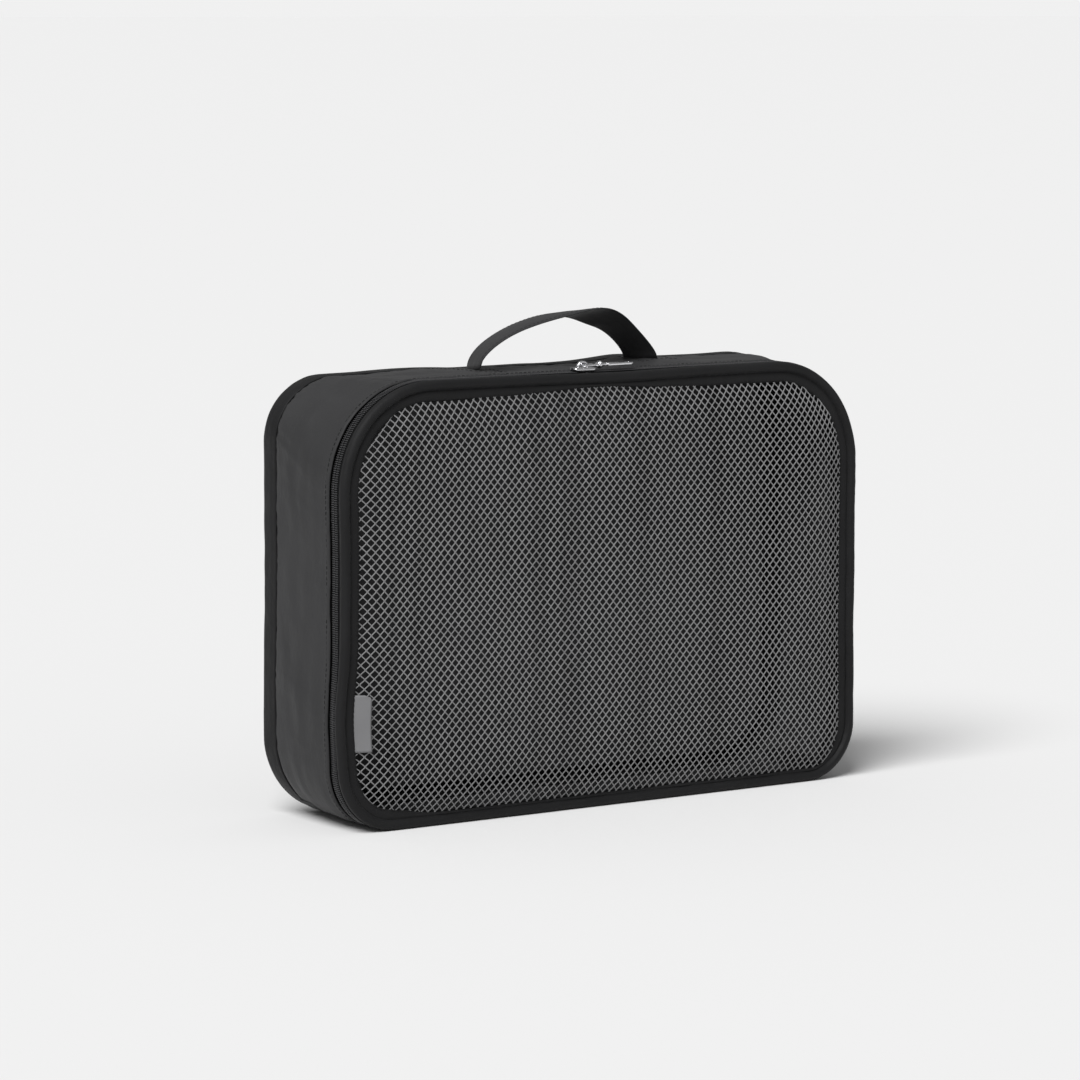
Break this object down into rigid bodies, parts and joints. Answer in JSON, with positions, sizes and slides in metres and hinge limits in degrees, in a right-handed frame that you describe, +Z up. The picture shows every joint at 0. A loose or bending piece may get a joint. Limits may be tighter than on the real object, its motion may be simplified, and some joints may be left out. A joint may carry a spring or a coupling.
{
  "type": "packing cube",
  "caption": "Soft rectangular travel packing cube with a zipped net front on a cloth hinge, rolled edges and a webbing carry handle on top.",
  "frame": {"origin": "centre of the whole cube's box, at the surface that it stands on", "axes": "+X to the right along the longest side, +Y to the back across the shallow side, +Z up; the net front faces -Y"},
  "size_m": [0.3606, 0.085, 0.284],
  "materials": {
    "nylon": "satin",
    "binding": "satin",
    "webbing": "satin",
    "net": "matte",
    "zip_tape": "matte",
    "zip_coil": "satin",
    "label": "matte",
    "slider_metal": "polished"
  },
  "bodies": {
    "case": {"side_gusset": "nylon", "bottom_gusset": "nylon", "back_panel": "nylon", "back_piping": "binding", "back_seam_tape": "binding", "gusset_seam_tape_left": "binding", "gusset_seam_tape_right": "binding", "zip_tape_case": "zip_tape", "zip_coil_case": "zip_coil", "zip_end_tab_left": "nylon", "zip_end_tab_right": "nylon", "handle_leg_left": "webbing", "handle_leg_right": "webbing", "handle_patch_left": "binding", "handle_patch_right": "binding"},
    "lid": {"front_piping": "binding", "lid_border": "nylon", "net_panel": "net", "lid_seam_tape": "binding", "zip_tape_lid": "zip_tape", "zip_coil_lid": "zip_coil", "label_tab": "label"},
    "slider": {"slider_body": "slider_metal"},
    "pull": {"puller": "slider_metal"},
    "handle": {"handle_strap": "webbing"}
  },
  "joints": [
    {"name": "lid_hinge", "type": "hinge", "parent": "case", "child": "lid", "pos_m": [0, -0.0393, 0.0032], "axis": [1, 0, 0], "range_deg": [0, 90]},
    {"name": "slider_run", "type": "slide", "parent": "case", "child": "slider", "axis": [1, 0, 0], "range_m": [-0.105, 0.13]},
    {"name": "pull_flip", "type": "hinge", "parent": "slider", "child": "pull", "pos_m": [-0.013, -0.033, 0.2531], "axis": [0, 1, 0], "range_deg": [-180, 0]},
    {"name": "handle_tilt", "type": "hinge", "parent": "case", "child": "handle", "pos_m": [0, 0.008, 0.25], "axis": [1, 0, 0], "range_deg": [-35, 35], "stiffness_Nm_per_rad": 0.01, "deforming": ["handle_leg_left", "handle_leg_right"]}
  ]
}
